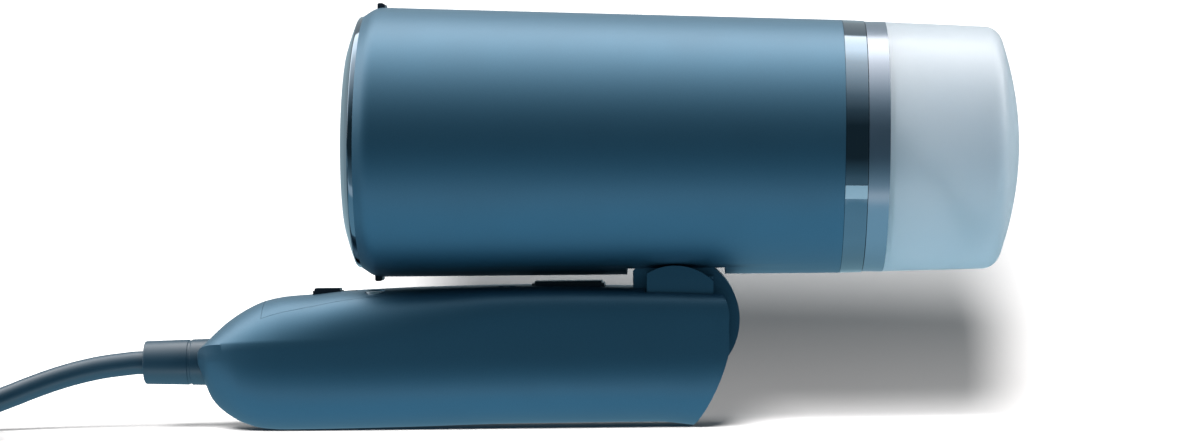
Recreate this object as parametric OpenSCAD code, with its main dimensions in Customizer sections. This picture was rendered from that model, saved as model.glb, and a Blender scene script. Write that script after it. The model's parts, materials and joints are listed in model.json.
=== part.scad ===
// Folding garment steamer, folded and standing on the flat underside of its handle.
// Millimetres. +X points along the body towards the water tank, +Z points up.
// The origin is under the middle of the steamer, on the surface that it stands on.
// The head is drawn on its own axis: x is measured along it from the hinge, z from the axis.

/* [Fold hinge] */
// Hinge axis, along the length of the handle
hinge_x = 25.1; // [24:0.1:26]
// Hinge axis, above the standing surface
hinge_z = 28.7; // [28:0.1:29.5]
// Head axis above the hinge axis
axis_rise = 45.92; // [45.5:0.1:47]
// Tilt of the folded head, tank end down, in degrees
head_tilt = 1.21; // [0.8:0.1:1.4]
// Radius of the barrel between the two ears
barrel_r = 16.7; // [16:0.1:17]
// Half of the barrel's length
barrel_half = 10.6; // [9:0.1:10.6]
// Radius of the ears' round bosses
ear_r = 14.2; // [13:0.1:14.5]
// Radius of the hinge pin
pin_r = 2.5; // [2:0.1:3]
// Turn of the head from folded to ready for use, in degrees
unfold_angle = 104; // [95:1:106]

/* [Head] */
// Radius of the shell at its front edge
shell_front_r = 35.85; // [35:0.1:37]
// Radius of the shell at its rear edge
shell_rear_r = 33.5; // [33:0.1:34]
// Front edge of the shell
shell_front_x = -79.8; // [-82:0.1:-78]
// Rear edge of the shell, where the glossy collar starts
shell_rear_x = 43.2; // [42:0.1:44]
// Wall of the shell
shell_wall = 1.8; // [1.4:0.1:2]
// Rear edge of the glossy collar
collar_rear_x = 48.9; // [48:0.1:49]

/* [Tank] */
// Front face of the tank's own collar
tank_front_x = 49.1; // [49.1:0.1:50]
// Where the frosted tank starts
tank_joint_x = 54.5; // [54:0.1:55]
// Rounded end of the tank
tank_end_x = 90.1; // [89:0.1:92]
// Wall of the tank
tank_wall = 1.8; // [1.2:0.1:2]

/* [Handle] */
// Wall of the handle
handle_wall = 2; // [1.6:0.1:2.2]
// Front end of the cover panel in the top of the handle
cover_front_x = -84; // [-86:1:-82]
// Rear end of the cover panel
cover_rear_x = 13.8; // [13:0.1:13.8]
// Half of the cover panel's width
cover_half = 12; // [11.5:0.1:12.5]
// Travel of the steam trigger
trigger_travel = 1.2; // [0.8:0.1:1.4]
// Travel of the power slider
slider_travel = 4; // [3:0.5:4]

/* [Cord] */
// Diameter of the mains cord
cord_d = 6.2; // [6:0.1:6.6]
// Middle of the coil's turns, from the coil's centre
coil_r = 34.8; // [32:0.1:37]
// Height of the cord where it leaves the handle
cord_exit_z = 18.2; // [17:0.1:19]
// Outer end of the strain relief
relief_end_x = -116.6; // [-120:0.1:-112]

/* [Hidden] */
$fn = 64;
FAR = 80;
shell_taper = (shell_front_r - shell_rear_r) / (shell_rear_x - shell_front_x);
neck_front_x = -7.5;
neck_rear_x = 9.9;
ear_in_y = 11.2;
ear_mid_y = 13.4;
ear_out_y = 14.6;
slot_y = 15;
recess_r = barrel_r + 0.5;
pin_bore_r = pin_r + 0.05;
chamber_screw_r = 20;
nozzle_r = 2.6;
shelf_z = 23;
nose_x = -100.05;
cord_r = cord_d / 2;
coil_x = -206;
coil_y = -33;
coil_top = 3 * cord_d;
plug_z = coil_top + 11;
plug_y = coil_y - coil_r + cord_d;
plug_back_x = coil_x - 5;
// Underside of the handle, x and z from the nose to the rear
HANDLE_LOW = [
    [-101.5, 15], [-100.5, 13.2], [-98.4, 8], [-95, 4.6], [-90, 1.8], [-84.5, 0.3], [-79, 0], [44, 0]
];
// Top of the handle, x and z
HANDLE_TOP = [
    [-101.5, 22], [-100.5, 22.9], [-98.4, 25.2], [-95, 28.3], [-90, 31.8], [-84.5, 34.2], [-78, 35.5],
    [-63, 36.8], [-40, 37.6], [-16, 37.9], [12, 37.3], [44, 36]
];
// Half width of the handle, x and y
HANDLE_SIDE = [
    [-101.5, 5.5], [-100.5, 8], [-98.4, 10.8], [-95, 13], [-90, 15], [-84.5, 16.3], [-78, 17],
    [-63, 17.2], [-16, 17.1], [44, 17]
];
// Screws of the cover: x, and the height of the seat under the head
SCREW_SEATS = [[-54, 36.1], [-19, 36.9]];
// Route of the cord from the strain relief down to the first turn of the coil
CORD_ROUTE = [
    [relief_end_x, 0, cord_exit_z], [-122.4, 0, 17.8], [-130.3, 0, 16.7], [-138.3, 0, 14.8],
    [-146.3, 0, 12.2], [-154.3, 0, 9.2], [-163, 0, 6.2], [-172, 1.2, 4.1], [-181, 3.3, 3.2], [-190, 5.7, 3.1],
    [-200, 7.6, 3.1]
];
// Route of the cord from the top turn of the coil up into the plug
LEAD_ROUTE = [
    [coil_x - 24.8, coil_y + 14.3, 17.4], [coil_x - 27.6, coil_y + 7.4, 19.2],
    [coil_x - 28.6, coil_y, 21], [coil_x - 26.9, coil_y - 9.8, 23.2],
    [coil_x - 21.9, coil_y - 18.4, 25.7], [coil_x - 14.3, coil_y - 24.8, 28],
    [plug_back_x, plug_y, plug_z]
];

// ---- Shared shapes ----

// Places what is drawn on the head's own axis
module on_head(turn = 0) {
    translate([hinge_x, 0, hinge_z]) rotate([0, head_tilt + turn, 0])
        translate([0, 0, axis_rise]) children();
}

// Turns an outline of [radius, x] points about the head's axis
module turned(points) {
    rotate([0, 90, 0]) rotate_extrude() polygon(points);
}

// A tube along x
module tube(x0, x1, outer_r, inner_r) {
    turned([[inner_r, x0], [outer_r, x0], [outer_r, x1], [inner_r, x1]]);
}

// A round bar along x
module bar(x0, x1, radius) {
    translate([x0, 0, 0]) rotate([0, 90, 0]) cylinder(h = x1 - x0, r = radius);
}

// A round bar along y, through the hinge axis
module hinge_bar(y0, y1, radius) {
    translate([hinge_x, y0, hinge_z]) rotate([-90, 0, 0]) cylinder(h = y1 - y0, r = radius);
}

// A box from its low corner to its high corner
module block(low, high) {
    translate(low) cube([high[0] - low[0], high[1] - low[1], high[2] - low[2]]);
}

// The same shape on both sides of the middle plane
module both_sides() {
    children();
    mirror([0, 1, 0]) children();
}

// Repeats a shape around the head's axis
module around_head(count, radius, start = 0) {
    for (i = [0 : count - 1])
        rotate([start + 360 * i / count, 0, 0]) translate([0, 0, radius]) children();
}

// A coil spring along z, drawn as a stack of rings
module spring(height, mean_r, wire_r, coils) {
    pitch = (height - 2 * wire_r) / (coils - 1);
    for (i = [0 : coils - 1])
        translate([0, 0, wire_r + i * pitch])
            rotate_extrude($fn = 32) translate([mean_r, 0]) circle(r = wire_r, $fn = 16);
    for (side = [-1, 1])
        translate([side * mean_r, 0, wire_r])
            cylinder(h = height - 2 * wire_r, r = wire_r * 0.8, $fn = 16);
}

function shell_r(x) = shell_front_r - (x - shell_front_x) * shell_taper;
function power(value, exponent) = sign(value) * pow(abs(value), exponent);

// Direction of a route at one of its points
function route_dir(points, i) =
    let (last = len(points) - 1, step = points[min(i + 1, last)] - points[max(i - 1, 0)])
    step / norm(step);

// One ring of corners around a route's point
function route_ring(points, i, radius, sides) =
    let (
        dir = route_dir(points, i),
        across = cross([0, 0, 1], dir) / norm(cross([0, 0, 1], dir)),
        up = cross(dir, across)
    )
    [for (k = [0 : sides - 1])
        points[i] + radius * (cos(360 * k / sides) * across + sin(360 * k / sides) * up)];

// A tube swept along a route
module swept(points, radius, sides = 12) {
    rings = len(points);
    corners = [for (i = [0 : rings - 1]) each route_ring(points, i, radius, sides)];
    walls = [for (i = [0 : rings - 2], k = [0 : sides - 1])
        let (a = i * sides + k, b = i * sides + (k + 1) % sides)
        [a, a + sides, b + sides, b]];
    first_cap = [for (k = [0 : sides - 1]) k];
    last_cap = [for (k = [sides - 1 : -1 : 0]) (rings - 1) * sides + k];
    polyhedron(corners, concat(walls, [first_cap, last_cap]), convexity = 4);
}

// ---- Head, front ----

module front_bezel() {
    color("steelblue") on_head() difference() {
        turned([
            [25, -86.3], [30.8, -85], [33.6, -83.8], [33.7, -82.9], [35.8, -79.8],
            [33.7, -79.8], [33.7, -74.5], [31.9, -74.5], [31.9, -80.8], [30, -82.4], [25, -83.7]
        ]);
        catch_blocks();
    }
}

module steam_plate() {
    color("silver") on_head() difference() {
        turned([
            [0, -88.7], [6.1, -88.3], [14, -87.6], [21.9, -86.8], [24.8, -86.25], [24.8, -82.5],
            [22.6, -82.5], [22.6, -84.3], [14, -85.4], [0, -86.3]
        ]);
        around_head(12, 16.5) bar(-90, -82, 1.2);
        around_head(6, 8) bar(-90, -82, 1.2);
    }
}

module plate_gasket() {
    color("dimgray") on_head() tube(-82.5, -80.5, 24.8, 22.6);
}

module steam_chamber() {
    color("silver") on_head() difference() {
        union() {
            bar(-80.5, -46, 26.5);
            bar(-46, -40, 2.4);
        }
        bar(-81, -78.5, 23);
        bar(-79, -66, 17.6);
        bar(-67, -39, 1.4);
        tube(-54.5, -45, 25.4, 18.6);
        around_head(4, chamber_screw_r, 45) bar(-79, -70, 1.1);
    }
}

module chamber_cover() {
    color("gray") on_head() difference() {
        bar(-80.3, -78.5, 22.9);
        around_head(4, chamber_screw_r, 45) bar(-81, -78, 1.3);
        around_head(8, 12) bar(-81, -78, 1.5);
    }
}

module chamber_screws() {
    color("gainsboro") on_head() around_head(4, chamber_screw_r, 45) {
        bar(-82, -80.3, 2.2);
        bar(-80.3, -71, 1.05);
    }
}

module heating_element() {
    ring_r = 22;
    tube_r = 3.1;
    color("dimgray") on_head() {
        translate([-50.8, 0, 0]) rotate([0, 90, 0]) rotate([0, 0, 30])
            rotate_extrude(angle = 300) translate([ring_r, 0]) circle(r = tube_r, $fn = 24);
        for (end = [36, 324])
            rotate([end, 0, 0]) translate([-50.8, 0, -ring_r]) {
                bar(0, 13, 2.2);
                bar(13, 19, 1);
            }
    }
}

module thermostat() {
    color("tan") on_head() translate([0, 0, 10]) {
        bar(-46, -41, 6.5);
        bar(-41, -38, 4.5);
        for (side = [-1, 1])
            block([-41, side * 3 - 1.2, -0.4], [-36.5, side * 3 + 1.2, 0.4]);
    }
}

module thermal_fuse() {
    color("white") on_head() translate([-44, 11.5, -8])  {
        cylinder(h = 14, r = 2);
        translate([0, 0, -3]) cylinder(h = 20, r = 0.5, $fn = 16);
    }
}

module heat_shield() {
    color("lightgray") on_head() {
        tube(-78, -36, 29.2, 28.5);
        difference() {
            tube(-36, -35.3, 29.2, 6);
            for (end = [36, 324]) rotate([end, 0, 0]) translate([0, 0, -22]) bar(-37, -35, 4.5);
            block([-37, -6, 3], [-35, 6, 16]);
        }
    }
}

// ---- Head, body ----

// Where the two catches for a brush sit across the front edge
module catch_blocks() {
    for (side = [0, 180]) rotate([side, 0, 0]) block([-82.2, -3, 34.2], [-78.6, 3, 37.3]);
}

module brush_catches() {
    color("midnightblue") on_head() catch_blocks();
}

module body_shell() {
    rear_r = shell_rear_r;
    color("steelblue") on_head() difference() {
        turned([
            [shell_front_r - shell_wall, shell_front_x], [shell_front_r, shell_front_x],
            [rear_r, shell_rear_x], [rear_r - shell_wall, shell_rear_x]
        ]);
        catch_blocks();
        block([neck_front_x, -ear_mid_y, -40], [neck_rear_x, ear_mid_y, -20]);
        block([-13, -ear_in_y, -40], [13, ear_in_y, -20]);
        translate([0, 0, -axis_rise]) intersection() {
            rotate([-90, 0, 0]) translate([0, 0, -ear_out_y]) cylinder(h = 2 * ear_out_y, r = ear_r);
            block([neck_front_x, -20, 0], [neck_rear_x, 20, 20]);
        }
    }
}

module chassis() {
    front_r = shell_r(-31) - shell_wall - 0.2;
    rear_r = shell_r(33) - shell_wall - 0.2;
    color("slategray") on_head() {
        tube(-35.3, -31, front_r, 27);
        tube(29, 33, rear_r, 26);
        both_sides() {
            block([-31, 24, -16], [29, 27, -8]);
            block([-33, 24, -16], [-31, 28.5, -8]);
            block([-5, 15, -26.4], [5, 18, -15]);
        }
        block([-26, -24, -16], [20, 24, -14]);
        for (side = [-1, 1]) block([side * 19 - 2, -9, -14], [side * 19 + 1, 9, -5.1]);
    }
}

module pump_housing() {
    color("ivory") on_head() difference() {
        union() {
            bar(-22, 17, 5);
            bar(-28, -22, 2.4);
            bar(17, 23, 2.4);
            for (x = [-15.8, 6]) block([x, -13, -14], [x + 1.8, 13, 13]);
            both_sides() block([-14, 12, -6], [6, 13, 6]);
        }
        bar(-20, 15.5, 3.06);
        bar(-29, 24, 1.2);
    }
}

module pump_coil() {
    color("peru") on_head() tube(-13.9, 5.9, 11.8, 5.1);
}

module pump_piston() {
    color("silver") on_head() difference() {
        bar(-10, 3.5, 3);
        bar(-11, 5, 1);
    }
}

module pump_spring() {
    color("gainsboro") on_head() translate([5.2, 0, 0]) rotate([0, 90, 0]) spring(10.2, 2.3, 0.4, 8);
}

module suction_hose() {
    color("whitesmoke") on_head() tube(17.1, 37.9, 3.6, 2.45);
}

module delivery_hose() {
    color("whitesmoke") on_head() {
        tube(-45.9, -22.1, 3.45, 2.45);
    }
}

module dock_plate() {
    color("slategray") on_head() difference() {
        union() {
            bar(38, 41, 31.4);
            bar(33.5, 38, 2.4);
            bar(41, 47.55, nozzle_r);
            tube(33, 38, 31.4, 29.4);
        }
        bar(33, 48, 1.4);
    }
}

module dock_seal() {
    color("dimgray") on_head() tube(41, 44.1, 9, 6.5);
}

module collar_ring() {
    color("darkslateblue") on_head() difference() {
        turned([
            [30, 41], [31.4, 41], [31.4, shell_rear_x], [shell_rear_r, shell_rear_x],
            [shell_rear_r - 0.2, collar_rear_x], [30, collar_rear_x]
        ]);
        mark_inlay(1);
    }
}

// The pale inlay across the glossy collar; grow lets the collar's pocket run past it
module mark_inlay(grow = 0) {
    intersection() {
        tube(shell_rear_x - grow, collar_rear_x + grow, shell_rear_r + 0.1 + grow, shell_rear_r - 0.9);
        block([shell_rear_x - 2, -40, -13.8], [collar_rear_x + 2, -20, -10.4]);
    }
}

module lock_mark() {
    color("lightsteelblue") on_head() mark_inlay();
}

// ---- Water tank ----

module tank_shell() {
    color("lightsteelblue") on_head() turned([
        [33, tank_joint_x], [32.8, 58.7], [32, 81.2], [31.4, 83.5], [30.2, 85.2], [28.3, 86.1],
        [18, 88.1], [0, tank_end_x], [0, tank_end_x - tank_wall], [17.6, 86.3], [27.8, 84.3],
        [29.8, 82.6], [30.2, 81], [31, 58.7], [31.2, tank_joint_x]
    ]);
}

module tank_collar() {
    color("lightslategray") on_head() difference() {
        union() {
            tube(tank_front_x, tank_joint_x, 33.1, 29);
            bar(tank_front_x, 51.1, 30);
            tube(43.6, tank_front_x, 29.4, 27.4);
            bar(44.2, tank_front_x, 9.5);
            bar(51, 61.5, 7);
        }
        bar(43, 47.5, 6.2);
        bar(47, 60.3, 5.5);
        bar(60, 64, 1.46);
        around_head(4, 3.6, 45) bar(60, 64, 1);
        around_head(4, 6, 0) block([52.5, -1.8, -2], [58.5, 1.8, 3]);
        translate([0, 0, 18]) bar(48, 55, 4);
    }
}

module tank_seal() {
    color("dimgray") on_head() tube(tank_joint_x, 56, 31.1, 29);
}

module valve_seat() {
    color("dimgray") on_head() tube(44.4, 47.5, 6.2, nozzle_r + 0.1);
}

module valve_plunger() {
    color("white") on_head() {
        bar(47.65, 49.2, 4.6);
        bar(49.2, 62.2, 1.4);
    }
}

module valve_spring() {
    color("gainsboro") on_head() translate([50.7, 0, 0]) rotate([0, 90, 0]) spring(9.5, 3.2, 0.4, 6);
}

module fill_plug() {
    color("dimgray") on_head() translate([0, 0, 18]) {
        bar(46.4, tank_front_x, 6);
        bar(tank_front_x, 51.8, 3.95);
        block([43.9, -1.2, 1], [46.4, 1.2, 5]);
    }
}

module pickup_tube() {
    route = [[61.9, 0, -4.6], [64.5, 0, -5], [68, 0, -7], [71.5, 0, -10.6], [74.5, 0, -15], [77, 0, -19.5]];
    color("lightgray") on_head() swept(route, 2.2, 10);
}

module pickup_weight() {
    color("gray") on_head() translate([77, 0, -19.5]) rotate([0, 151, 0]) cylinder(h = 7, r = 3.6);
}

// ---- Hinge ----

module hinge_bracket() {
    color("steelblue") difference() {
        union() {
            on_head() intersection() {
                block([-16, -18, -33], [16, 18, -26.4]);
                bar(-17, 17, shell_r(16) - shell_wall - 0.15);
            }
            hinge_ears();
        }
        hinge_bar(-ear_in_y, ear_in_y, recess_r);
        hinge_bar(-20, 20, pin_r);
        both_sides() hinge_bar(ear_mid_y, ear_out_y + 1, 5.2);
    }
}

// Both ears, each with its outer round boss
module hinge_ears() {
    both_sides() {
        hinge_bar(ear_in_y, ear_out_y, 9.4);
        intersection() {
            hinge_bar(ear_in_y, ear_out_y, ear_r);
            on_head() block([neck_front_x, 0, -axis_rise], [neck_rear_x, 20, -20]);
        }
        on_head() block([neck_front_x, ear_in_y, -axis_rise], [neck_rear_x, ear_mid_y, -28]);
    }
}

module hinge_pin() {
    color("silver") difference() {
        hinge_bar(-ear_out_y + 0.2, ear_out_y - 0.2, pin_r);
        both_sides() difference() {
            hinge_bar(ear_mid_y, ear_mid_y + 0.6, pin_r + 1);
            hinge_bar(ear_mid_y - 1, ear_mid_y + 1, pin_r - 0.5);
        }
    }
}

module friction_washers() {
    color("gray") both_sides() difference() {
        hinge_bar(barrel_half + 0.05, ear_in_y, 8);
        hinge_bar(barrel_half - 1, ear_in_y + 1, pin_r);
    }
}

module pin_clips() {
    color("dimgray") both_sides() difference() {
        hinge_bar(ear_mid_y, ear_mid_y + 0.6, 4.6);
        hinge_bar(ear_mid_y - 1, ear_mid_y + 1, pin_r - 0.5);
        block([hinge_x - 1.2, ear_mid_y - 1, hinge_z - 6], [hinge_x + 1.2, ear_mid_y + 1, hinge_z]);
    }
}

// ---- Handle ----

// The handle's cross-section as points in y and z, a box with rounded corners
function handle_section(half, bottom, top, square_up = 8, square_low = 5) =
    let (middle = bottom + 0.46 * (top - bottom), steps = 40)
    [for (k = [0 : steps - 1])
        let (
            angle = 360 * (k + 0.5) / steps,
            square = angle < 180 ? square_up : square_low,
            reach = angle < 180 ? top - middle : middle - bottom
        )
        [half * power(cos(angle), 2 / square), middle + reach * power(sin(angle), 2 / square)]];

// A line of points moved by an offset, from its third point on where there is one
function moved(points, offset) =
    [for (i = [offset[1] == 0 ? 0 : 2 : len(points) - 1]) points[i] + offset];

function reversed(points) = [for (i = [len(points) - 1 : -1 : 0]) points[i]];

// The handle's outer form, or its inside where inset is the wall
module handle_form(inset = 0) {
    low = moved(HANDLE_LOW, [0, inset]);
    top = moved(HANDLE_TOP, [0, -inset]);
    side = moved(HANDLE_SIDE, [0, -inset]);
    other_side = [for (point = side) [point[0], -point[1]]];
    intersection() {
        translate([0, 30, 0]) rotate([90, 0, 0]) linear_extrude(60) polygon(concat(low, reversed(top)));
        translate([0, 0, -1]) linear_extrude(50) polygon(concat(other_side, reversed(side)));
        translate([nose_x, 0, 0]) rotate([90, 0, 90]) linear_extrude(150)
            polygon(handle_section(17.2 - inset, inset - 0.8, 38.3 - inset));
    }
}

// Room for the unfolded head at the handle's rear end, with grow as its clearance
module saddle(grow) {
    on_head(unfold_angle) turned([
        [0, shell_front_x], [shell_r(shell_front_x) + grow, shell_front_x],
        [shell_r(FAR) + grow, FAR], [0, FAR]
    ]);
}

// The rear end of the side walls: upright, then round about the hinge
module rear_trim() {
    difference() {
        block([hinge_x, -30, -10], [60, 30, 60]);
        hinge_bar(-31, 31, ear_r);
        block([hinge_x - 1, -31, -11], [hinge_x + ear_r - 0.2, 31, hinge_z]);
    }
}

// Slots that the ears swing in, open at the top and the rear of the handle
module ear_slots() {
    reach = neck_rear_x + 0.4;
    front = neck_front_x - 0.4;
    last = unfold_angle + head_tilt + 1;
    arc = [for (turn = [0:6]) reach * [cos(180 + turn * (180 - last) / 6), sin(180 + turn * (180 - last) / 6)]];
    far = arc[6] + 60 * [sin(last), cos(last)];
    both_sides() translate([hinge_x, slot_y, hinge_z]) rotate([90, 0, 0]) linear_extrude(slot_y - barrel_half)
        polygon(concat([[front, 40], [front, 6.6]], arc, [far, [far[0], 40]]));
}

module handle_shell() {
    wall = handle_wall;
    color("steelblue") {
        difference() {
            handle_form();
            difference() {
                handle_form(wall);
                saddle(0.4 + wall);
                block([hinge_x - 12, -30, 14], [60, 30, 50]);
            }
            saddle(0.4);
            rear_trim();
            ear_slots();
            hinge_bar(-barrel_half - 0.25, barrel_half + 0.25, barrel_r + 0.2);
            block([cover_front_x, -cover_half, 30], [hinge_x - 11, cover_half, 60]);
            translate([-103, 0, cord_exit_z]) rotate([0, 90, 0]) cylinder(h = 5.5, r = 5.05);
        }
        case_posts();
        cord_rest();
    }
}

// Posts that rise from the floor for the cover, the board and the hinge barrel
module case_posts() {
    both_sides() {
        for (seat = SCREW_SEATS) post(seat[0], 8, 34.5, 3, 14);
        for (x = [-47, -25]) post(x, 8, 11.9, 2.5, 4);
        post(8, 6, 5.9, 3.2, 4);
    }
}

module post(x, y, top, radius, hole_depth) {
    translate([x, y, handle_wall - 0.5]) difference() {
        cylinder(h = top - handle_wall + 0.5, r = radius);
        translate([0, 0, top - handle_wall + 0.5 - hole_depth]) cylinder(h = hole_depth + 1, r = 1.1);
    }
}

// The saddle inside the nose that the cord is clamped down on
module cord_rest() {
    difference() {
        intersection() {
            handle_form(1);
            block([-89, -10, 0], [-82, 10, cord_exit_z - 0.3]);
        }
        translate([-90, 0, cord_exit_z]) rotate([0, 90, 0]) cylinder(h = 9, r = cord_r);
        both_sides() translate([-85.5, 7, 6]) cylinder(h = 20, r = 1.1);
    }
}

module handle_cover() {
    window = 0.25;
    color("steelblue") {
        difference() {
            intersection() {
                handle_form();
                block([cover_front_x + 0.2, -cover_half + 0.2, 30], [cover_rear_x, cover_half - 0.2, 60]);
            }
            handle_form(handle_wall);
            block([-12.7 - window, -5.5 - window, 20], [6.4 + window, 5.5 + window, 60]);
            block([-71.2 - window, -3.2 - window, 20], [-63.6 + slider_travel + window, 3.2 + window, 60]);
            both_sides() for (seat = SCREW_SEATS) translate([seat[0], 8, 0]) {
                translate([0, 0, 30]) cylinder(h = 20, r = 1.4);
                translate([0, 0, seat[1]]) cylinder(h = 20, r = 2.7);
            }
        }
        difference() {
            switch_cradles();
            difference() {
                block([-120, -30, 30], [60, 30, 60]);
                handle_form(handle_wall);
            }
        }
    }
}

// Frames under the cover that hold the two switches
module switch_cradles() {
    for (x = [-16.4, 8.6]) block([x, -6.2, shelf_z - 1.6], [x + 1.4, 6.2, 36.2]);
    difference() {
        block([-16.4, -6.2, shelf_z - 1.6], [10, 6.2, shelf_z]);
        block([-3.9, -4.3, shelf_z - 3], [-2.1, 4.3, shelf_z + 1]);
    }
    for (x = [-79, -50.8]) block([x, -4.5, 22.4], [x + 1.4, 4.5, 35.5]);
    block([-79, -4.5, 22.4], [-49.4, 4.5, 24]);
}

module case_screws() {
    color("gainsboro") both_sides() {
        for (seat = SCREW_SEATS) translate([seat[0], 8, 0]) {
            translate([0, 0, seat[1]]) cylinder(h = 0.7, r = 2.5);
            translate([0, 0, 24]) cylinder(h = seat[1] - 24, r = 1.05);
        }
        translate([8, 6, 0]) {
            translate([0, 0, 10]) cylinder(h = 1.8, r = 2.3);
            translate([0, 0, 2.5]) cylinder(h = 7.5, r = 1.05);
        }
    }
}

module hinge_barrel() {
    flat_x = hinge_x - 11;
    color("steelblue") difference() {
        union() {
            intersection() {
                hinge_bar(-barrel_half, barrel_half, barrel_r);
                block([flat_x, -20, 0], [60, 20, 60]);
            }
            block([2, -9.5, 6], [flat_x - 1.1, 9.5, 10]);
            block([flat_x - 3, -9.5, 6], [flat_x - 1.1, 9.5, 22]);
            block([flat_x - 3, -9.5, 17.4], [flat_x + 1, 9.5, 22]);
        }
        hinge_bar(-20, 20, pin_bore_r);
        both_sides() translate([8, 6, 0]) cylinder(h = 20, r = 1.2);
    }
}

module steam_trigger() {
    low = 32;
    top = 38.9;
    color("midnightblue") {
        difference() {
            union() {
                block([-12.7, -5.5, low], [6.4, 5.5, top - 0.6]);
                block([-12, -4.8, top - 1], [5.7, 4.8, top]);
            }
            block([-11.2, -4, low - 1], [4.9, 4, top - 2]);
        }
        both_sides() block([-14.2, 4, low + 2], [8, 5.5, low + 3.2]);
        block([-3.8, -4.2, 31.4], [-2.2, 4.2, top - 1.5]);
    }
}

module trigger_springs() {
    color("gainsboro") for (x = [-8.4, 2.6])
        translate([x, 0, shelf_z]) spring(36.85 - shelf_z, 1.9, 0.35, 9);
}

module microswitch() {
    color("dimgray") {
        difference() {
            block([-5.9, -4.8, shelf_z + 0.02], [-0.1, 4.8, shelf_z + 6.4]);
            block([-3.9, -1.1, shelf_z + 3.8], [-2.1, 1.1, shelf_z + 7]);
        }
        for (y = [-3.5, 0, 3.5]) block([-3.4, y - 0.4, shelf_z - 3], [-2.6, y + 0.4, shelf_z + 1]);
    }
}

module microswitch_plunger() {
    color("tomato") block([-3.8, -1, shelf_z + 5.2], [-2.2, 1, 31.38]);
}

module power_slider() {
    color("midnightblue") {
        block([-71.2, -3, 33.6], [-63.6, 3, 37]);
        block([-70.8, -2.6, 37], [-64, 2.6, 37.6]);
        block([-75.4, -4.6, 32.4], [-58.6, 4.6, 33.6]);
        block([-68.4, -1.4, 28.4], [-66.4, 1.4, 32.4]);
    }
}

module slide_switch() {
    color("dimgray") difference() {
        block([-77.4, -5.4, 24.02], [-57.8, 5.4, 31.6]);
        block([-69, -2, 28], [-61.8, 2, 33]);
    }
}

module control_board() {
    color("darkgreen") {
        difference() {
            block([-51, -11, 12], [-22.3, 11, 13.6]);
            both_sides() for (x = [-47, -25]) translate([x, 8, 10]) cylinder(h = 5, r = 1.2);
        }
        block([-44, -9, 13.6], [-34, -1, 22]);
        translate([-29, 0, 13.6]) cylinder(h = 12, r = 4.5);
        block([-43, 2, 13.6], [-37, 9, 17]);
        block([-51, -5, 13.6], [-48.5, 5, 19]);
    }
}

module terminal_block() {
    color("white") difference() {
        block([-76, -8, 2.02], [-64, 8, 13]);
        for (y = [-5, 0, 5]) {
            translate([-77, y, 8]) rotate([0, 90, 0]) cylinder(h = 14, r = 1.3);
            translate([-70, y, 8]) cylinder(h = 6, r = 1.6);
        }
    }
}

module cord_clamp() {
    color("dimgray") difference() {
        block([-88.5, -10, cord_exit_z + 0.3], [-82.5, 10, cord_exit_z + 5.5]);
        translate([-90, 0, cord_exit_z]) rotate([0, 90, 0]) cylinder(h = 9, r = cord_r);
        both_sides() translate([-85.5, 7, 10]) cylinder(h = 20, r = 1.2);
    }
}

module clamp_screws() {
    color("gainsboro") both_sides() translate([-85.5, 7, 0]) {
        translate([0, 0, cord_exit_z + 5.5]) cylinder(h = 1.8, r = 2.3);
        translate([0, 0, 8]) cylinder(h = cord_exit_z - 2.5, r = 1.05);
    }
}

module strain_relief() {
    color("steelblue") translate([0, 0, cord_exit_z]) rotate([0, 90, 0]) rotate_extrude()
        polygon([
            [cord_r, relief_end_x], [5.3, relief_end_x], [5.6, relief_end_x + 0.4], [6.0, -105.6],
            [6.4, -105], [6.4, -103.6], [6.1, -103], [6.15, nose_x], [5, nose_x], [5, -97.4],
            [5.7, -97.4], [5.7, -95.9], [4.6, -95.3], [4.4, -91], [cord_r, -91]
        ]);
}

// The cord's end inside the handle: the sheath up to the clamp, then its two cores
module cord_tail() {
    color("steelblue") {
        translate([relief_end_x + 0.2, 0, cord_exit_z]) rotate([0, 90, 0])
            cylinder(h = -81 - relief_end_x - 0.2, r = cord_r);
        for (y = [-1.4, 1.4])
            swept([[-81.2, y, 18.2], [-80, y * 1.6, 17.4], [-78.6, y * 2.5, 14],
                [-77.6, y * 3.4, 10], [-76.6, y * 3.5, 8.2]], 1, 8);
    }
}

// ---- Cord ----

module power_cord() {
    color("steelblue") swept(CORD_ROUTE, cord_r);
}

module cord_coil() {
    edge = 2;
    inner = coil_r - 1.5 * cord_d;
    outer = coil_r + 1.5 * cord_d;
    color("steelblue") translate([coil_x, coil_y, 0]) rotate_extrude() polygon([
        [inner + edge, 0], [outer - edge, 0], [outer, edge], [outer, coil_top - edge],
        [outer - edge, coil_top], [inner + edge, coil_top], [inner, coil_top - edge], [inner, edge]
    ]);
}

module plug_lead() {
    color("steelblue") swept(LEAD_ROUTE, cord_r, 10);
}

// A flat band around the coil's turns, on the side away from the plug
module cord_tie() {
    reach = coil_r - 1.5 * cord_d;
    band = 1.2;
    color("midnightblue") translate([coil_x, coil_y, 0]) rotate([0, 0, 20]) difference() {
        block([reach - band, -5, 0], [reach + 3 * cord_d + band, 5, coil_top + band]);
        translate([0, 0, -1]) rotate_extrude() translate([reach, 0]) square([3 * cord_d, coil_top + 1]);
    }
}

module plug_body() {
    color("steelblue") translate([plug_back_x, plug_y, plug_z]) {
        rotate([0, 90, 0]) cylinder(h = 16, r1 = 4.4, r2 = 6);
        hull() {
            translate([15, 0, 0]) rotate([0, 90, 0]) cylinder(h = 1, r = 7.5, $fn = 32);
            block([26, -15.5, -8], [28, 15.5, 8]);
            block([42, -17.5, -11], [44, 17.5, 11]);
        }
    }
}

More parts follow.
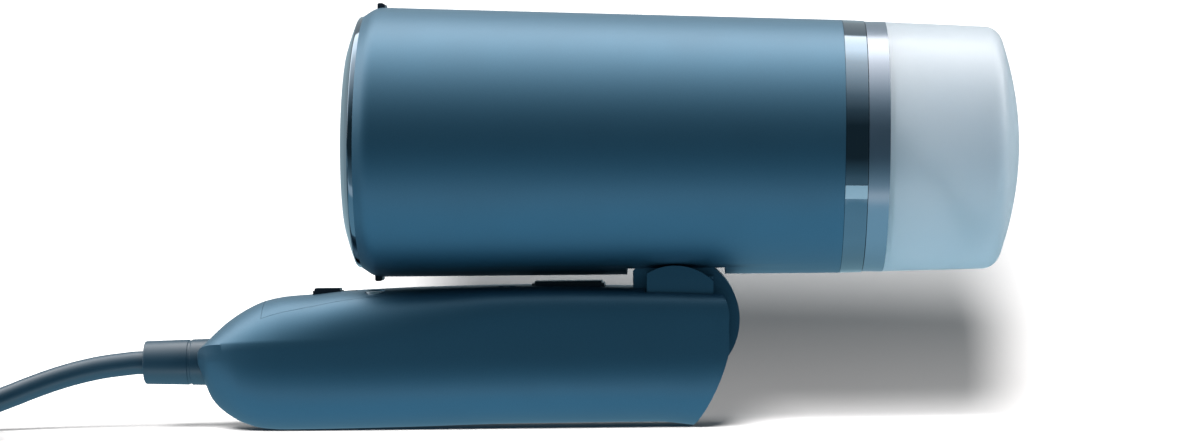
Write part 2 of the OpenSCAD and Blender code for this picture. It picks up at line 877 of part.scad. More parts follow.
module plug_pins() {
    color("silver") translate([plug_back_x + 44, plug_y, plug_z]) for (side = [-1, 1])
        translate([0, side * 9.5, 0]) rotate([0, 90, 0]) {
            cylinder(h = 17.5, r = 2.4);
            translate([0, 0, 17.5]) cylinder(h = 1.5, r1 = 2.4, r2 = 1.4);
        }
}

// ---- The assembly ----

front_bezel();
steam_plate();
plate_gasket();
steam_chamber();
chamber_cover();
chamber_screws();
heating_element();
thermostat();
thermal_fuse();
heat_shield();
body_shell();
brush_catches();
chassis();
pump_housing();
pump_coil();
pump_piston();
pump_spring();
suction_hose();
delivery_hose();
dock_plate();
dock_seal();
collar_ring();
lock_mark();
tank_shell();
tank_collar();
tank_seal();
valve_seat();
valve_plunger();
valve_spring();
fill_plug();
pickup_tube();
pickup_weight();
hinge_bracket();
hinge_pin();
friction_washers();
pin_clips();
handle_shell();
handle_cover();
case_screws();
hinge_barrel();
steam_trigger();
trigger_springs();
microswitch();
microswitch_plunger();
power_slider();
slide_switch();
control_board();
terminal_block();
cord_clamp();
clamp_screws();
strain_relief();
cord_tail();
power_cord();
cord_coil();
plug_lead();
cord_tie();
plug_body();
plug_pins();
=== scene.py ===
"""Folding garment steamer: the looks, around the fixed CAD frame. Metres, +X towards the tank, +Z up."""
import json
import math
import bmesh
import bpy
from mathutils import Matrix, Vector


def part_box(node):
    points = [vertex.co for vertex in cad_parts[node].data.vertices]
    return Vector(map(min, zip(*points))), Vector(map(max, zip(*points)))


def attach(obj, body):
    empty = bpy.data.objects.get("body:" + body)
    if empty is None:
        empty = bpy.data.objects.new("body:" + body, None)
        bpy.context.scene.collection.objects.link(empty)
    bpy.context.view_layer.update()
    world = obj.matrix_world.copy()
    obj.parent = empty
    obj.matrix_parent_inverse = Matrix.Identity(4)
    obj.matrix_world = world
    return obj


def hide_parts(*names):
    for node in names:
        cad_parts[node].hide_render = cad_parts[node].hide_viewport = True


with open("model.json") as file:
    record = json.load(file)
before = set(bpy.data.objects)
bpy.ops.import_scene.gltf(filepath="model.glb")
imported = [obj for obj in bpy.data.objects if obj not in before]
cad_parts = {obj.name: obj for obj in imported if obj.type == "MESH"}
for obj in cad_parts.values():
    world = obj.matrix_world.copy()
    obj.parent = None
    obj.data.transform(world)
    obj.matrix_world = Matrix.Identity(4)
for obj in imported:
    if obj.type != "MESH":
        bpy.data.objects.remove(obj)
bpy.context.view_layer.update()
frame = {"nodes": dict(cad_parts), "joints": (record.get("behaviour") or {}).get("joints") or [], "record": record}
MM = 0.001

# ---- The frame's own places ----

joints = {joint["name"]: joint for joint in frame["joints"]}
nodes = frame["nodes"]
HINGE = Vector(joints["head_fold"]["pos_m"])
AXIS = Vector(joints["tank_pull"]["axis"]).normalized()
UNFOLD = math.radians(joints["head_fold"]["range_deg"][1])


def head_frame():
    """The head's axes: x along it from above the hinge, y across, z up. The tank seal is round about x."""
    low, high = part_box("tank_seal")
    on_axis = (low + high) / 2
    across = Vector((0, 1, 0))
    matrix = Matrix((AXIS, across, AXIS.cross(across))).transposed().to_4x4()
    matrix.translation = on_axis + AXIS * (HINGE - on_axis).dot(AXIS)
    return matrix


HEAD = head_frame()

# ---- Camera ----

VIEW_WIDTH = 319.2 * MM
VIEW_DISTANCE = 820 * MM
VIEW_TARGET = Vector((5.3, 0, 54.5)) * MM
VIEW_AZIMUTH = math.radians(1.75)
VIEW_ELEVATION = math.radians(0.6)
VIEW_ROLL = math.radians(0.68)


def make_camera():
    """A long lens, level with the steamer and turned a little, so that the floor rises to the right."""
    data = bpy.data.cameras.new("camera")
    data.sensor_width = 36
    data.lens = data.sensor_width * VIEW_DISTANCE / VIEW_WIDTH
    data.clip_start = 0.01
    away = Vector((
        math.sin(VIEW_AZIMUTH) * math.cos(VIEW_ELEVATION),
        -math.cos(VIEW_AZIMUTH) * math.cos(VIEW_ELEVATION),
        math.sin(VIEW_ELEVATION),
    ))
    turn = away.to_track_quat("Z", "Y").to_matrix() @ Matrix.Rotation(-VIEW_ROLL, 3, "Z")
    camera = bpy.data.objects.new("camera", data)
    camera.matrix_world = Matrix.Translation(VIEW_TARGET + away * VIEW_DISTANCE) @ turn.to_4x4()
    bpy.context.scene.collection.objects.link(camera)
    bpy.context.scene.camera = camera


make_camera()

# ---- Cord ----

CORD_D = 6.2 * MM
CORD_EXIT = Vector((-116.6, 0, 18.2)) * MM
CORD_ROUTE = [
    (-116.6, 0, 18.2), (-119.5, 0, 18.1), (-122.4, 0, 17.8), (-126.3, 0, 17.35), (-130.3, 0, 16.7),
    (-138.3, 0, 14.8), (-146.3, 0, 12.2), (-154.3, 0, 9.2), (-163, 0, 6.2), (-172, 1.2, 4.1),
    (-181, 3.3, 3.2), (-190, 5.7, 3.1), (-200, 7.6, 3.1),
]
COIL = (-206, -33)
COIL_INNER_R = 28.6
COIL_STEP = 6.2
# Each change of the coil: the turn and the angle in it where it starts, then the new column and layer
COIL_CHANGES = [
    (0, 300, 1, 0), (1, 300, 0, 0), (2, 240, 0, 1), (3, 180, 1, 1), (4, 180, 2, 1), (5, 120, 2, 2),
    (6, 60, 1, 2), (7, 60, 0, 2),
]
COIL_CHANGE_DEG = 60
COIL_DEG = 8 * 360 + 20
COIL_KNOT_DEG = 15
LEAD_ROUTE = [
    (-18.4, 21.9, 15.9), (-24.8, 14.3, 17.4), (-27.6, 7.4, 19.2), (-28.6, 0, 21), (-26.9, -9.8, 23.2),
    (-21.9, -18.4, 25.7), (-14.3, -24.8, 28), (-5, -28.6, 29.6),
]


def coil_place(angle):
    """Radius and height of the wound cord at an angle from where the coil starts, in degrees and mm."""
    column, layer = 2, 0
    for turn, start, new_column, new_layer in COIL_CHANGES:
        part = min(max((angle - turn * 360 - start) / COIL_CHANGE_DEG, 0), 1)
        if part < 1:
            part = part * part * (3 - 2 * part)
            column += (new_column - column) * part
            layer += (new_layer - layer) * part
            break
        column, layer = new_column, new_layer
    return COIL_INNER_R + COIL_STEP * column, COIL_STEP * (layer + 0.5)


def cord_points():
    """The cord's whole line: down to the floor, round the coil and up into the plug, in metres."""
    points = list(CORD_ROUTE)
    for angle in range(0, COIL_DEG + 1, COIL_KNOT_DEG):
        radius, height = coil_place(angle)
        turned = math.radians(90 + angle)
        points.append((COIL[0] + radius * math.cos(turned), COIL[1] + radius * math.sin(turned), height))
    points += [(COIL[0] + x, COIL[1] + y, z) for x, y, z in LEAD_ROUTE]
    return [Vector(point) * MM for point in points]


def curve_through(name, points, thickness, resolution=4, rings=6):
    """A round tube along one smooth open curve. Its knots carry the radius, which its box is grown by."""
    data = bpy.data.curves.new(name, "CURVE")
    data.dimensions = "3D"
    data.bevel_depth = 1
    data.bevel_resolution = rings
    data.resolution_u = resolution
    data.use_fill_caps = True
    spline = data.splines.new("BEZIER")
    spline.bezier_points.add(len(points) - 1)
    for knot, point in zip(spline.bezier_points, points):
        knot.co = point
        knot.radius = thickness / 2
        knot.handle_left_type = knot.handle_right_type = "AUTO"
    piece = bpy.data.objects.new(name, data)
    bpy.context.scene.collection.objects.link(piece)
    return piece


cord = curve_through("mains_cord", cord_points(), CORD_D)
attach(cord, "handle")
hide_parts("power_cord", "cord_coil", "plug_lead")

# ---- Finishes ----

finishes = {}


class Finish:
    """A material being made: its node tree, its shader, and place coordinates that move with the piece."""

    def __init__(self, name):
        self.material = bpy.data.materials.new(name)
        self.material.use_nodes = True
        self.tree = self.material.node_tree
        self.shader = self.tree.nodes["Principled BSDF"]
        self.place = self.tree.nodes.new("ShaderNodeTexCoord").outputs["Object"]

    def add(self, kind, **values):
        """A new node of that kind, with these settings."""
        node = self.tree.nodes.new(kind)
        for name, value in values.items():
            setattr(node, name, value)
        return node

    def join(self, source, target):
        self.tree.links.new(source, target)

    def noise(self, per_metre, detail=2, stretch=None):
        """Noise with that many lumps to a metre, drawn out along the axes in stretch."""
        noise = self.add("ShaderNodeTexNoise")
        noise.inputs["Scale"].default_value = per_metre
        noise.inputs["Detail"].default_value = detail
        if stretch is None:
            self.join(self.place, noise.inputs["Vector"])
        else:
            mapping = self.add("ShaderNodeMapping")
            mapping.inputs["Scale"].default_value = stretch
            self.join(self.place, mapping.inputs["Vector"])
            self.join(mapping.outputs[0], noise.inputs["Vector"])
        return noise.outputs[0]

    def colours(self, source, first, second, low=0.3, high=0.7):
        """Colour that varies between two with a pattern."""
        ramp = self.add("ShaderNodeValToRGB")
        ramp.color_ramp.elements[0].position = low
        ramp.color_ramp.elements[1].position = high
        ramp.color_ramp.elements[0].color = (*first, 1)
        ramp.color_ramp.elements[1].color = (*second, 1)
        self.join(source, ramp.inputs[0])
        self.join(ramp.outputs[0], self.shader.inputs["Base Color"])

    def roughness(self, source, low, high):
        """Gloss that varies between two levels with a pattern."""
        spread = self.add("ShaderNodeMapRange")
        spread.inputs["From Min"].default_value = 0.3
        spread.inputs["From Max"].default_value = 0.7
        spread.inputs["To Min"].default_value = low
        spread.inputs["To Max"].default_value = high
        self.join(source, spread.inputs["Value"])
        self.join(spread.outputs[0], self.shader.inputs["Roughness"])

    def bump(self, source, depth, strength=1.0):
        """A raised pattern with that depth in metres."""
        bump = self.add("ShaderNodeBump")
        bump.inputs["Strength"].default_value = strength
        bump.inputs["Distance"].default_value = depth
        self.join(source, bump.inputs["Height"])
        self.join(bump.outputs[0], self.shader.inputs["Normal"])

    def set(self, **values):
        """Constants on the shader's own sockets. An underscore stands for a space in a socket's name."""
        for name, value in values.items():
            self.shader.inputs[name.replace("_", " ")].default_value = value


def moulded(name, first, second, roughness, grain=2500, depth=0.004 * MM):
    """Moulded plastic or rubber: a slight drift in colour and gloss, and a fine spark-eroded grain."""
    made = Finish(name)
    drift = made.noise(45, 3)
    made.colours(drift, first, second)
    made.roughness(drift, *roughness)
    made.bump(made.noise(grain, 3), depth)
    return made


def body_satin():
    """Satin metallic paint: flakes too fine to see singly, under a dull clear coat."""
    made = Finish("body_satin")
    made.colours(made.noise(5200, 2), (0.014, 0.081, 0.136), (0.019, 0.096, 0.158))
    made.roughness(made.noise(60, 3), 0.54, 0.58)
    made.bump(made.noise(3800, 3), 0.002 * MM)
    made.set(Metallic=1.0, Coat_Weight=1.0, Coat_Roughness=0.44, Coat_IOR=1.5)
    return made


def gloss_blue():
    """Polished dark teal plastic, with faint wiping marks."""
    made = Finish("gloss_blue")
    made.colours(made.noise(70, 2), (0.008, 0.04, 0.072), (0.011, 0.048, 0.082))
    made.roughness(made.noise(300, 3, (1, 6, 6)), 0.05, 0.1)
    made.bump(made.noise(900, 2), 0.001 * MM)
    made.set(Metallic=1.0, Coat_Weight=1.0, Coat_Roughness=0.04, Coat_IOR=1.9)
    return made


def dark_trim():
    return moulded("dark_trim", (0.006, 0.01, 0.02), (0.009, 0.015, 0.028), (0.32, 0.42), 3200, 0.01 * MM)


# Pale colour for the small inlay on the collar ring's near side, just where the reflected light line crosses the
# ring: a painted highlight.
def pale_mark():
    made = moulded("pale_mark", (0.46, 0.52, 0.58), (0.5, 0.56, 0.62), (0.3, 0.38), 2800)
    made.set(Coat_Weight=0.3)
    return made


def tank_frosted():
    """Frosted clear plastic that blurs what is behind it, with the fine etch of its mould."""
    made = Finish("tank_frosted")
    drift = made.noise(40, 3)
    made.colours(drift, (0.74, 0.79, 0.84), (0.78, 0.82, 0.86))
    made.roughness(drift, 0.42, 0.48)
    made.bump(made.noise(2600, 3), 0.006 * MM)
    made.set(Transmission_Weight=0.62, IOR=1.35, Coat_Weight=0.5, Coat_Roughness=0.25)
    return made


def tank_smoke():
    """The smoky, glossy band that the tank is held by."""
    made = Finish("tank_smoke")
    made.colours(made.noise(50, 2), (0.085, 0.115, 0.16), (0.1, 0.13, 0.18))
    made.roughness(made.noise(200, 2), 0.3, 0.36)
    made.bump(made.noise(2600, 2), 0.001 * MM)
    made.set(Metallic=0.7, Coat_Weight=1.0, Coat_Roughness=0.2, Coat_IOR=2.0)
    return made


def white_plastic():
    return moulded("white_plastic", (0.7, 0.7, 0.67), (0.78, 0.78, 0.75), (0.38, 0.5))


def inner_plastic():
    return moulded("inner_plastic", (0.1, 0.105, 0.11), (0.14, 0.145, 0.15), (0.42, 0.55), 2200, 0.008 * MM)


def seal_rubber():
    return moulded("seal_rubber", (0.025, 0.026, 0.028), (0.04, 0.042, 0.045), (0.6, 0.75), 1800, 0.012 * MM)


def hose_silicone():
    made = moulded("hose_silicone", (0.75, 0.76, 0.76), (0.83, 0.84, 0.84), (0.3, 0.42), 900, 0.004 * MM)
    made.set(Transmission_Weight=0.4, Subsurface_Weight=0.2)
    return made


def cast_metal():
    """Die-cast aluminium: a sandy skin with a few darker flow marks."""
    made = Finish("cast_metal")
    made.colours(made.noise(160, 5), (0.42, 0.43, 0.45), (0.6, 0.61, 0.63))
    made.roughness(made.noise(600, 4), 0.32, 0.5)
    made.bump(made.noise(1500, 4), 0.015 * MM)
    made.set(Metallic=1.0)
    return made


def drawn_metal(name, first, second, roughness):
    """Metal with the fine lines of drawing or turning."""
    made = Finish(name)
    lines = made.noise(1500, 4, (0.06, 1, 1))
    made.colours(lines, first, second)
    made.roughness(lines, *roughness)
    made.bump(lines, 0.003 * MM)
    made.set(Metallic=1.0)
    return made


def steel():
    return drawn_metal("steel", (0.46, 0.47, 0.49), (0.62, 0.63, 0.65), (0.22, 0.36))


def heater_steel():
    """Steel that heat has coloured brown and blue."""
    made = drawn_metal("heater_steel", (0.2, 0.17, 0.16), (0.3, 0.28, 0.3), (0.35, 0.5))
    made.colours(made.noise(90, 4), (0.26, 0.17, 0.1), (0.2, 0.22, 0.3))
    return made


def copper_winding():
    """Enamelled wire wound in close turns."""
    made = Finish("copper_winding")
    turns = made.add("ShaderNodeTexWave", wave_type="BANDS", bands_direction="X")
    turns.inputs["Scale"].default_value = 700
    made.join(made.place, turns.inputs["Vector"])
    made.colours(turns.outputs["Fac"], (0.3, 0.1, 0.03), (0.66, 0.3, 0.13), 0.1, 0.8)
    made.roughness(made.noise(400, 2), 0.2, 0.32)
    made.bump(turns.outputs["Fac"], 0.12 * MM)
    made.set(Metallic=1.0)
    return made


def switch_red():
    return moulded("switch_red", (0.45, 0.03, 0.02), (0.55, 0.05, 0.03), (0.25, 0.35))


def board():
    """Solder mask over copper tracks, which show as paler, raised lines."""
    made = Finish("board")
    tracks = made.add("ShaderNodeTexBrick", offset=0.35)
    tracks.inputs["Scale"].default_value = 260
    tracks.inputs["Mortar Size"].default_value = 0.06
    made.join(made.place, tracks.inputs["Vector"])
    made.colours(tracks.outputs["Fac"], (0.012, 0.09, 0.04), (0.03, 0.2, 0.09), 0.2, 0.8)
    made.roughness(made.noise(300, 2), 0.2, 0.3)
    made.bump(tracks.outputs["Fac"], 0.03 * MM)
    return made


def cord_jacket():
    """Satin rubber jacket, matt where it has been handled, with a faint fine grain."""
    made = moulded(
        "cord_jacket", (0.008, 0.036, 0.062), (0.012, 0.046, 0.076), (0.34, 0.44), 2400, 0.006 * MM
    )
    made.set(Specular_IOR_Level=0.65)
    return made


def plug_moulding():
    return moulded("plug_moulding", (0.009, 0.036, 0.06), (0.012, 0.045, 0.074), (0.4, 0.5), 1600, 0.012 * MM)


def tie_black():
    return moulded("tie_black", (0.01, 0.01, 0.012), (0.02, 0.02, 0.023), (0.6, 0.75), 1400, 0.02 * MM)


def pin_metal():
    return drawn_metal("pin_metal", (0.62, 0.61, 0.57), (0.74, 0.73, 0.7), (0.16, 0.26))


def finish(slot):
    """The material of a slot of the record, made by the function of the same name the first time."""
    if slot not in finishes:
        finishes[slot] = MAKERS[slot]().material
    return finishes[slot]


MAKERS = {
    maker.__name__: maker for maker in (
        body_satin, gloss_blue, dark_trim, pale_mark, tank_frosted, tank_smoke, white_plastic, inner_plastic,
        seal_rubber, hose_silicone, cast_metal, steel, heater_steel, copper_winding, switch_red, board,
        cord_jacket, plug_moulding, tie_black, pin_metal,
    )
}


def paint_cad_nodes():
    """Gives each CAD node the finish of its slot in the record."""
    for part in frame["record"]["subparts"]:
        for slot in nodes[part["node"]].material_slots:
            slot.material = finish(part["material_slot"])


paint_cad_nodes()
cord.data.materials.append(finish("cord_jacket"))

# ---- Mesh work ----


def add_piece(name, points, faces, sharp_deg=38):
    """A new mesh object in metres, from points in metres, smooth except across sharp edges."""
    mesh = bpy.data.meshes.new(name)
    mesh.from_pydata([tuple(point) for point in points], [], faces)
    work = bmesh.new()
    work.from_mesh(mesh)
    bmesh.ops.recalc_face_normals(work, faces=work.faces)
    work.to_mesh(mesh)
    work.free()
    shade(mesh, sharp_deg)
    piece = bpy.data.objects.new(name, mesh)
    bpy.context.scene.collection.objects.link(piece)
    return piece


def shade(mesh, sharp_deg):
    """Smooth shading, except across edges that turn by more than the angle."""
    for polygon in mesh.polygons:
        polygon.use_smooth = True
    mesh.set_sharp_from_angle(angle=math.radians(sharp_deg))


def place_piece(piece, body, slot, *stands_for):
    """Puts a finished piece on its body, with its finish and the CAD nodes that it stands for."""
    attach(piece, body)
    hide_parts(*stands_for)
    piece.data.materials.clear()
    piece.data.materials.append(finish(slot))


def cut(piece, cutters, operation="DIFFERENCE", sharp_deg=38):
    """Cuts each cutter out of the piece, or keeps only what is in it, and removes the cutters."""
    for cutter in cutters:
        change = piece.modifiers.new("cut", "BOOLEAN")
        change.operation = operation
        change.solver = "EXACT"
        change.object = cutter
    shown = piece.evaluated_get(bpy.context.evaluated_depsgraph_get())
    mesh = bpy.data.meshes.new_from_object(shown)
    piece.modifiers.clear()
    piece.data = mesh
    shade(mesh, sharp_deg)
    for cutter in cutters:
        bpy.data.objects.remove(cutter)


def soften_edges(piece, width=0.35 * MM, angle_deg=38, segments=2):
    """A small round on every sharp edge, as a mould leaves it."""
    bevel = piece.modifiers.new("soft_edges", "BEVEL")
    bevel.width = width
    bevel.segments = segments
    bevel.limit_method = "ANGLE"
    bevel.angle_limit = math.radians(angle_deg)
    bevel.use_clamp_overlap = True
    bevel.harden_normals = True


def rounded(outline, steps=5):
    """An outline of (x, r, radius) corners as (x, r) points, each corner with a radius turned into an arc."""
    points = []
    for i, (x, r, radius) in enumerate(outline):
        here = Vector((x, r))
        if radius == 0 or i in (0, len(outline) - 1):
            points.append(here)
            continue
        back = Vector(outline[i - 1][:2]) - here
        ahead = Vector(outline[i + 1][:2]) - here
        half = back.angle(ahead) / 2
        reach = min(radius / math.tan(half), back.length * 0.49, ahead.length * 0.49)
        start, end = here + back.normalized() * reach, here + ahead.normalized() * reach
        for step in range(steps + 1):
            t = step / steps
            points.append(start * (1 - t) ** 2 + here * 2 * t * (1 - t) + end * t ** 2)
    return points


def turned_piece(name, outline, place=HEAD, sides=144):
    """A solid turned about the place's x axis. The outline closes on itself, or has both ends on the axis."""
    points, faces = [], []
    outline = [Vector(point) for point in outline]
    poles = outline[0].y == 0
    for x, r in outline:
        count = 1 if r == 0 else sides
        for side in range(count):
            turn = 2 * math.pi * side / sides
            points.append(place @ (Vector((x, r * math.sin(turn), r * math.cos(turn))) * MM))
    starts, at = [], 0
    for x, r in outline:
        starts.append(at)
        at += 1 if r == 0 else sides
    pairs = [(i, i + 1) for i in range(len(outline) - 1)]
    if not poles:
        pairs.append((len(outline) - 1, 0))
    for a, b in pairs:
        for side in range(sides):
            after = (side + 1) % sides
            corners = [starts[a] + side, starts[a] + after, starts[b] + after, starts[b] + side]
            if outline[a].y == 0:
                corners = [starts[a], starts[b] + after, starts[b] + side]
            if outline[b].y == 0:
                corners = [starts[a] + side, starts[a] + after, starts[b]]
            faces.append(corners)
    return add_piece(name, points, faces)


def lofted_piece(name, rings):
    """A closed skin over rings of the same number of points, with flat ends."""
    count = len(rings[0])
    points = [point for ring in rings for point in ring]
    faces = [list(range(count)), [len(points) - count + k for k in range(count)]]
    for i in range(len(rings) - 1):
        for k in range(count):
            after = (k + 1) % count
            faces.append([i * count + k, i * count + after, (i + 1) * count + after, (i + 1) * count + k])
    return add_piece(name, points, faces)


def box_piece(name, low, high, place=Matrix()):
    """A plain block between two corners in mm, used to cut with."""
    points = [
        place @ (Vector((x, y, z)) * MM)
        for x in (low[0], high[0]) for y in (low[1], high[1]) for z in (low[2], high[2])
    ]
    faces = [[0, 1, 3, 2], [4, 6, 7, 5], [0, 4, 5, 1], [2, 3, 7, 6], [0, 2, 6, 4], [1, 5, 7, 3]]
    return add_piece(name, points, faces)


def prism_piece(name, outline, low_y, high_y):
    """A flat outline of (x, z) points in mm, drawn out across the steamer, used to cut with."""
    count = len(outline)
    points = [Vector((x, y, z)) * MM for y in (low_y, high_y) for x, z in outline]
    faces = [list(range(count)), list(range(count, 2 * count))]
    faces += [[k, (k + 1) % count, count + (k + 1) % count, count + k] for k in range(count)]
    return add_piece(name, points, faces)


def smooth_value(table, at):
    """The value at a place on a smooth line through a table of (place, value) pairs."""
    if at <= table[0][0]:
        return table[0][1]
    if at >= table[-1][0]:
        return table[-1][1]
    i = next(k for k in range(len(table) - 1) if at <= table[k + 1][0])
    slopes = [(after[1] - before[1]) / (after[0] - before[0]) for before, after in zip(table, table[1:])]

    def tangent(k):
        if k in (0, len(table) - 1):
            return slopes[min(k, len(slopes) - 1)]
        if slopes[k - 1] * slopes[k] <= 0:
            return 0
        return 2 * slopes[k - 1] * slopes[k] / (slopes[k - 1] + slopes[k])

    width = table[i + 1][0] - table[i][0]
    t = (at - table[i][0]) / width
    return (
        (2 * t ** 3 - 3 * t ** 2 + 1) * table[i][1] + (t ** 3 - 2 * t ** 2 + t) * width * tangent(i)
        + (3 * t ** 2 - 2 * t ** 3) * table[i + 1][1] + (t ** 3 - t ** 2) * width * tangent(i + 1)
    )


# ---- Handle ----

HINGE_X, HINGE_Z = HINGE.x / MM, HINGE.z / MM
CORD_AXIS = Matrix.Translation((0, 0, CORD_EXIT.z))
NOSE_X = -101.6
HANDLE_WALL = 1.9
# The handle's section along x, in mm: its underside, top and half width, and its crease with the band below.
# Each half of a section is a rounded quarter with its own power, which starts at the kink.
HANDLE_LOW = [
    (-101.6, 15.2), (-101.2, 14), (-100.5, 12.6), (-98.4, 8), (-95, 4.6), (-90, 1.8), (-84.5, 0.35),
    (-79, 0.02), (-48, 0.4), (-16, 1.1), (20, 1.2), (33, 0.05), (46, 0.05),
]
HANDLE_TOP = [
    (-101.6, 21.6), (-100.4, 22.9), (-98.2, 25.3), (-94.2, 28.9), (-89.1, 32.2), (-84.1, 34.4), (-78.5, 35.5),
    (-70, 36.1), (-63, 36.8), (-40, 37.6), (-16, 37.9), (12, 37.3), (46, 35.9),
]
HANDLE_SIDE = [
    (-101.6, 7.2), (-101.2, 7.9), (-100.5, 8.8), (-98.4, 11), (-95, 13.2), (-90, 15.2), (-84.5, 16.4),
    (-78, 17), (-63, 17.2), (-16, 17.2), (46, 17),
]
CREASE_Z = [(-101.6, 21), (-100.4, 22.4), (-97, 23.3), (-92.6, 23.5), (-70, 23.9), (46, 24)]
UPPER_KINK_DEG = [(-101.6, 34), (-84, 26), (-60, 12), (-25, 0), (46, 0)]
UPPER_POWER = [(-101.6, 2), (-86, 2.1), (-66, 3), (-40, 4.5), (0, 6), (46, 7)]
LOWER_KINK_DEG = [(-101.6, 26), (-97, 15), (-89, 0), (46, 0)]
LOWER_POWER = [(-101.6, 2), (-86, 2.15), (-60, 2.3), (-30, 2.3), (18, 2.3), (46, 2)]
BAND = [(-101.6, 2), (-98, 4), (46, 4)]


def quarter(width, corner_z, end_z, kink_deg, power, steps):
    """Points from the side of a section to its middle, evenly spaced along a rounded quarter."""
    start = math.radians(kink_deg)
    reach, lift = math.cos(start) ** (2 / power), math.sin(start) ** (2 / power)
    height = (end_z - corner_z) / (1 - lift)
    dense = []
    for i in range(241):
        turn = start + (math.pi / 2 - start) * (1 - math.cos(math.pi * i / 240)) / 2
        y = width / reach * max(math.cos(turn), 0) ** (2 / power)
        dense.append(Vector((y, corner_z + height * (math.sin(turn) ** (2 / power) - lift))))
    dense[-1].x = 0
    lengths = [0]
    for a, b in zip(dense, dense[1:]):
        lengths.append(lengths[-1] + (b - a).length)
    points, at = [], 0
    for step in range(steps + 1):
        aim = lengths[-1] * step / steps
        while at < len(dense) - 2 and lengths[at + 1] < aim:
            at += 1
        span = max(lengths[at + 1] - lengths[at], 1e-9)
        points.append(dense[at].lerp(dense[at + 1], min(max((aim - lengths[at]) / span, 0), 1)))
    return points


def handle_ring(x, inset):
    """One section of the handle at x in mm, as points in metres, from under the middle round to it again."""
    place = max(x, NOSE_X)
    width = smooth_value(HANDLE_SIDE, place) - inset
    low, top = smooth_value(HANDLE_LOW, place) + inset, smooth_value(HANDLE_TOP, place) - inset
    crease = smooth_value(CREASE_Z, place)
    band = smooth_value(BAND, place)
    upper = quarter(
        width, crease, top, smooth_value(UPPER_KINK_DEG, place), smooth_value(UPPER_POWER, place), 22
    )
    lower = quarter(
        width, crease - band, low, smooth_value(LOWER_KINK_DEG, place), smooth_value(LOWER_POWER, place), 24
    )
    half = list(reversed(lower)) + [Vector((width, crease - band / 2))] + upper
    ring = half + [Vector((-point.x, point.y)) for point in reversed(half[1:-1])]
    return [Vector((x, point.x, point.y)) * MM for point in ring]


def handle_form(name, inset=0):
    """The handle's whole form, or its hollow, past the rear end that is cut off it later."""
    front, rear = NOSE_X + inset, 46
    places = [front + (rear - front) * (i / 110) ** 1.7 for i in range(111)]
    return lofted_piece(name, [handle_ring(x, inset) for x in places])


def head_form(name, grow):
    """The unfolded head's outside, as a cutter that leaves room for it behind the handle."""
    unfold = (
        Matrix.Translation(HINGE) @ Matrix.Rotation(UNFOLD, 4, "Y") @ Matrix.Translation(-HINGE) @ HEAD
    )
    return turned_piece(
        name, [(-79.8, 0), (-79.8, 35.85 + grow), (95, 32.6 + grow), (95, 0)], unfold
    )


def hinge_cylinder(name, radius, low_y, high_y, steps=96):
    """A cylinder about the hinge pin, used to cut with."""
    turns = [2 * math.pi * i / steps for i in range(steps)]
    circle = [(HINGE_X + radius * math.cos(turn), HINGE_Z + radius * math.sin(turn)) for turn in turns]
    return prism_piece(name, circle, low_y, high_y)


def upright_cylinder(name, x, y, radius, low, high, steps=40):
    """A standing cylinder between two heights, used to cut with."""
    turned = Matrix.Translation(Vector((x, y, 0)) * MM) @ Matrix.Rotation(-math.pi / 2, 4, "Y")
    return turned_piece(name, [(low, 0), (low, radius), (high, radius), (high, 0)], turned, steps)


HEAD_ROOM = 0.4
EAR_R = 14.2
BARREL_R = 16.7
BARREL_HALF = 10.6
SLOT_Y = 15
NECK_FRONT, NECK_REAR = -7.5, 9.9


def rear_cutter():
    """What is behind the side walls' rear edge: upright, then round about the hinge."""
    rear = HINGE_X + EAR_R - 0.2
    outline = [(rear, -10), (60, -10), (60, 60), (HINGE_X, 60)]
    outline += [
        (HINGE_X + EAR_R * math.sin(math.radians(turn)), HINGE_Z + EAR_R * math.cos(math.radians(turn)))
        for turn in range(0, 90, 3)
    ]
    return prism_piece("rear_cutter", outline + [(rear, HINGE_Z - 1)], -30, 30)


def slot_cutter(side):
    """The slot that one ear and the neck swing in."""
    reach, front = NECK_REAR + 0.4, NECK_FRONT - 0.4
    last = UNFOLD + math.radians(2.2)
    outline = [(front, 40), (front, 6.6)]
    for step in range(13):
        turn = math.pi + (math.pi - last) * step / 12
        outline.append((reach * math.cos(turn), reach * math.sin(turn)))
    far = (outline[-1][0] + 60 * math.sin(last), outline[-1][1] + 60 * math.cos(last))
    outline += [far, (far[0], 40)]
    low, high = sorted((side * BARREL_HALF, side * SLOT_Y))
    return prism_piece("slot_cutter", [(HINGE_X + x, HINGE_Z + z) for x, z in outline], low, high)


COVER_LOW, COVER_HIGH = (-84, -12, 30), (14.1, 12, 60)
COVER_GAP = 0.08
COVER_SCREWS = [(-54, 36.1), (-19, 36.9)]


def make_handle():
    """The handle's moulded case, with the saddle for the unfolded head, and the panel in its top."""
    shell = handle_form("handle_case")
    hollow = handle_form("handle_hollow", HANDLE_WALL)
    cut(hollow, [
        head_form("room_inside", HEAD_ROOM + HANDLE_WALL),
        box_piece("solid_end", (HINGE_X - 12, -30, 14), (60, 30, 50)),
    ])
    relief = turned_piece(
        "relief_cutter", [(-125, 0), (-125, 6.5), (-98.6, 6.5), (-98.6, 5.1), (-91, 5.1), (-91, 0)],
        CORD_AXIS, 64
    )
    cover_gap = box_piece("cover_cutter", COVER_LOW, COVER_HIGH)
    cut(shell, [hollow])
    cut(shell, [
        head_form("room_behind", HEAD_ROOM), rear_cutter(), slot_cutter(1), slot_cutter(-1),
        hinge_cylinder("barrel_cutter", BARREL_R + 0.2, -BARREL_HALF - 0.25, BARREL_HALF + 0.25),
        cover_gap, relief,
    ])
    place_piece(shell, "handle", "body_satin", "handle_shell")


